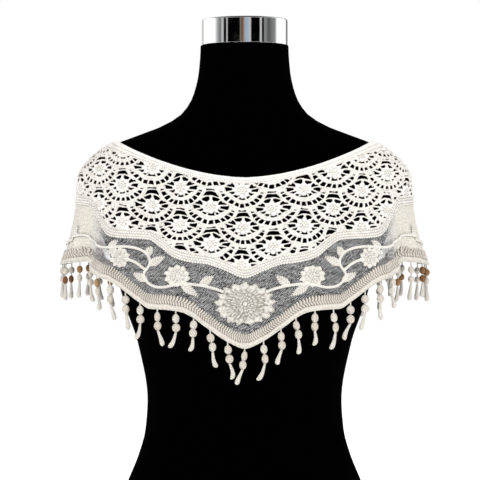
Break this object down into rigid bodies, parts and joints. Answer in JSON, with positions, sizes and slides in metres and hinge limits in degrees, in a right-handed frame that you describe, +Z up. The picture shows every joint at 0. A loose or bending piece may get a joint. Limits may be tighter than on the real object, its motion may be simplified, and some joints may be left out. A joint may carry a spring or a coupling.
{
  "type": "lace shoulder cape on a limbless dress form",
  "caption": "Short crochet and tulle shoulder cape with a stepped hem and beaded drops, worn on a black limbless dress form with a polished neck cap.",
  "frame": {"origin": "centre of the whole object's footprint, at the height of the form's flat base", "axes": "+Z up through the neck, -Y out of the chest, +X to the wearer's left"},
  "size_m": [0.4354, 0.2514, 0.6388],
  "materials": {
    "form_cover": "matte black jersey cover",
    "polished_cap": "mirror polish",
    "crochet_cotton": "ivory crochet thread",
    "tulle": "fine off-white hexagonal net",
    "applique_cotton": "raised ivory stitching",
    "hem_cotton": "ribbed cream thread",
    "wound_beads": "beads and tassels wound with cream thread"
  },
  "bodies": {
    "root": {"form": "form_cover", "neck_cap": "polished_cap", "neck_band_front": "crochet_cotton", "crochet_front": "crochet_cotton", "crochet_band_front": "crochet_cotton", "net_front": "tulle", "hem_band_front": "hem_cotton", "fringe_front": "wound_beads", "centre_bloom_front": "applique_cotton", "vine_right_front": "applique_cotton", "vine_left_front": "applique_cotton", "neck_band_back": "crochet_cotton", "crochet_back": "crochet_cotton", "crochet_band_back": "crochet_cotton", "net_back": "tulle", "hem_band_back": "hem_cotton", "fringe_back": "wound_beads", "centre_bloom_back": "applique_cotton", "vine_right_back": "applique_cotton", "vine_left_back": "applique_cotton"}
  },
  "joints": []
}
